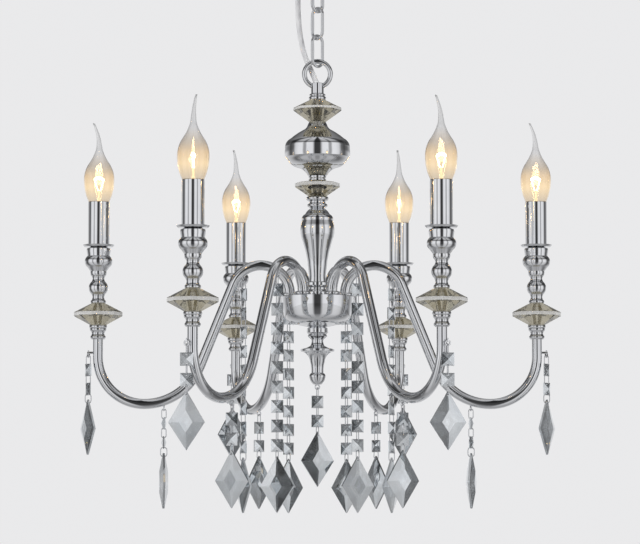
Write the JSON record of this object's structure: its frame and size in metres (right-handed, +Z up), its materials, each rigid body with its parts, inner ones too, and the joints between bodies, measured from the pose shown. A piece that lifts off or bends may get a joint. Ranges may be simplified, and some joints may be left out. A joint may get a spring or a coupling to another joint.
{
  "type": "chandelier",
  "caption": "Chain-hung chandelier with swept chrome arms, a turned column, candle lamps and swinging strands of faceted crystal drops.",
  "frame": {"origin": "middle of the ceiling plane, where the canopy's bracket meets the ceiling", "axes": "+Z up into the ceiling, -Y towards the front, +X to the right seen from the front"},
  "size_m": [0.5666, 0.5066, 0.6767],
  "materials": {
    "chrome_plate": "polished plating",
    "zinc_steel": "zinc plated",
    "smoky_crystal": "polished, smoke tinted",
    "strand_crystal": "polished, lightly smoked",
    "lamp_glass": "clear blown glass",
    "filament": "lit wire on a glass stem",
    "cap_metal": "pressed",
    "holder_plastic": "moulded",
    "clear_plastic": "moulded, milky",
    "cord_sheath": "smooth white sheath"
  },
  "bodies": {
    "canopy": {"canopy_dome": "chrome_plate", "ceiling_bracket": "zinc_steel", "canopy_stud": "zinc_steel", "canopy_nut": "zinc_steel", "canopy_hook": "chrome_plate", "cord_grip": "clear_plastic", "supply_cord_upper": "cord_sheath"},
    "upper_link": {"chain_link_1": "chrome_plate", "supply_cord_middle": "cord_sheath"},
    "lower_link": {"chain_link_2": "chrome_plate", "supply_cord_lower": "cord_sheath"},
    "fixture": {"hanging_ring": "chrome_plate", "ring_coupler": "chrome_plate", "upper_crystal": "smoky_crystal", "vase_shell": "chrome_plate", "column_neck": "chrome_plate", "lower_crystal": "smoky_crystal", "column_rings": "chrome_plate", "baluster": "chrome_plate", "column_base": "chrome_plate", "bowl_lid": "chrome_plate", "centre_bowl": "chrome_plate", "centre_rod": "zinc_steel", "bottom_finial": "chrome_plate", "root_collars": "chrome_plate", "root_nuts": "zinc_steel", "arm_front_left": "chrome_plate", "arm_front_right": "chrome_plate", "arm_side_left": "chrome_plate", "arm_side_right": "chrome_plate", "arm_rear_left": "chrome_plate", "arm_rear_right": "chrome_plate", "strand_eyes": "chrome_plate", "riser_cups": "chrome_plate", "candle_crystals": "smoky_crystal", "candle_stems": "chrome_plate", "candle_sleeves": "chrome_plate", "lampholders": "holder_plastic", "lamp_caps": "cap_metal", "lamp_mounts": "filament", "lamp_glasses": "lamp_glass"},
    "inner_front_left": {"inner_strand_front_left": "strand_crystal"},
    "inner_front_right": {"inner_strand_front_right": "strand_crystal"},
    "inner_side_left": {"inner_strand_side_left": "strand_crystal"},
    "inner_side_right": {"inner_strand_side_right": "strand_crystal"},
    "inner_rear_left": {"inner_strand_rear_left": "strand_crystal"},
    "inner_rear_right": {"inner_strand_rear_right": "strand_crystal"},
    "under_front_left": {"under_strand_front_left": "strand_crystal"},
    "under_front_right": {"under_strand_front_right": "strand_crystal"},
    "under_side_left": {"under_strand_side_left": "strand_crystal"},
    "under_side_right": {"under_strand_side_right": "strand_crystal"},
    "under_rear_left": {"under_strand_rear_left": "strand_crystal"},
    "under_rear_right": {"under_strand_rear_right": "strand_crystal"},
    "outer_front_left": {"outer_strand_front_left": "strand_crystal"},
    "outer_front_right": {"outer_strand_front_right": "strand_crystal"},
    "outer_side_left": {"outer_strand_side_left": "strand_crystal"},
    "outer_side_right": {"outer_strand_side_right": "strand_crystal"},
    "outer_rear_left": {"outer_strand_rear_left": "strand_crystal"},
    "outer_rear_right": {"outer_strand_rear_right": "strand_crystal"},
    "centre": {"centre_strand": "strand_crystal"}
  },
  "joints": [
    {"name": "upper_link_swing", "type": "hinge", "parent": "canopy", "child": "upper_link", "pos_m": [0, 0, -0.0902], "axis": [0.7071, 0.7071, 0], "range_deg": [-12, 12], "deforming": ["supply_cord_upper"]},
    {"name": "lower_link_swing", "type": "hinge", "parent": "upper_link", "child": "lower_link", "pos_m": [0, 0, -0.12265], "axis": [0.7071, -0.7071, 0], "range_deg": [-12, 12], "deforming": ["supply_cord_middle"]},
    {"name": "fixture_swing", "type": "hinge", "parent": "lower_link", "child": "fixture", "pos_m": [0, 0, -0.15285], "axis": [0.7071, 0.7071, 0], "range_deg": [-12, 12], "deforming": ["supply_cord_lower"]},
    {"name": "inner_front_left_swing", "type": "hinge", "parent": "fixture", "child": "inner_front_left", "pos_m": [-0.04557, -0.07293, -0.40891], "axis": [-0.9397, 0.342, 0], "range_deg": [-4, 7]},
    {"name": "inner_front_right_swing", "type": "hinge", "parent": "fixture", "child": "inner_front_right", "pos_m": [0.04557, -0.07293, -0.40891], "axis": [-0.9135, -0.4067, 0], "range_deg": [-4, 7]},
    {"name": "inner_side_left_swing", "type": "hinge", "parent": "fixture", "child": "inner_side_left", "pos_m": [-0.086, 0, -0.40891], "axis": [-0.4695, 0.8829, 0], "range_deg": [-4, 7]},
    {"name": "inner_side_right_swing", "type": "hinge", "parent": "fixture", "child": "inner_side_right", "pos_m": [0.086, 0, -0.40891], "axis": [-0.5299, -0.848, 0], "range_deg": [-4, 7]},
    {"name": "inner_rear_left_swing", "type": "hinge", "parent": "fixture", "child": "inner_rear_left", "pos_m": [-0.03443, 0.07881, -0.40891], "axis": [0.829, 0.5592, 0], "range_deg": [-4, 7]},
    {"name": "inner_rear_right_swing", "type": "hinge", "parent": "fixture", "child": "inner_rear_right", "pos_m": [0.03443, 0.07881, -0.40891], "axis": [0.866, -0.5, 0], "range_deg": [-4, 7]},
    {"name": "under_front_left_swing", "type": "hinge", "parent": "fixture", "child": "under_front_left", "pos_m": [-0.09433, -0.15095, -0.55842], "axis": [-0.9135, 0.4067, 0], "range_deg": [-8, 12]},
    {"name": "under_front_right_swing", "type": "hinge", "parent": "fixture", "child": "under_front_right", "pos_m": [0.09433, -0.15095, -0.55842], "axis": [-0.8829, -0.4695, 0], "range_deg": [-8, 12]},
    {"name": "under_side_left_swing", "type": "hinge", "parent": "fixture", "child": "under_side_left", "pos_m": [-0.178, 0, -0.55842], "axis": [-0.1045, 0.9945, 0], "range_deg": [-8, 12]},
    {"name": "under_side_right_swing", "type": "hinge", "parent": "fixture", "child": "under_side_right", "pos_m": [0.178, 0, -0.55842], "axis": [-0.2079, -0.9781, 0], "range_deg": [-8, 12]},
    {"name": "under_rear_left_swing", "type": "hinge", "parent": "fixture", "child": "under_rear_left", "pos_m": [-0.07126, 0.16311, -0.55842], "axis": [0.766, 0.6428, 0], "range_deg": [-8, 12]},
    {"name": "under_rear_right_swing", "type": "hinge", "parent": "fixture", "child": "under_rear_right", "pos_m": [0.07126, 0.16311, -0.55842], "axis": [0.7193, -0.6947, 0], "range_deg": [-8, 12]},
    {"name": "outer_front_left_swing", "type": "hinge", "parent": "fixture", "child": "outer_front_left", "pos_m": [-0.14096, -0.22558, -0.4964], "axis": [-0.9903, 0.1392, 0], "range_deg": [0, 20]},
    {"name": "outer_front_right_swing", "type": "hinge", "parent": "fixture", "child": "outer_front_right", "pos_m": [0.14096, -0.22558, -0.4964], "axis": [-0.9848, -0.1736, 0], "range_deg": [0, 20]},
    {"name": "outer_side_left_swing", "type": "hinge", "parent": "fixture", "child": "outer_side_left", "pos_m": [-0.266, 0, -0.4964], "axis": [-0.4695, 0.8829, 0], "range_deg": [0, 20]},
    {"name": "outer_side_right_swing", "type": "hinge", "parent": "fixture", "child": "outer_side_right", "pos_m": [0.266, 0, -0.4964], "axis": [-0.5, -0.866, 0], "range_deg": [0, 20]},
    {"name": "outer_rear_left_swing", "type": "hinge", "parent": "fixture", "child": "outer_rear_left", "pos_m": [-0.10649, 0.24375, -0.4964], "axis": [0.866, 0.5, 0], "range_deg": [0, 20]},
    {"name": "outer_rear_right_swing", "type": "hinge", "parent": "fixture", "child": "outer_rear_right", "pos_m": [0.10649, 0.24375, -0.4964], "axis": [0.829, -0.5592, 0], "range_deg": [0, 20]},
    {"name": "centre_swing", "type": "hinge", "parent": "fixture", "child": "centre", "pos_m": [0, 0, -0.5335], "axis": [-0.9397, -0.342, 0], "range_deg": [-8, 8]}
  ]
}
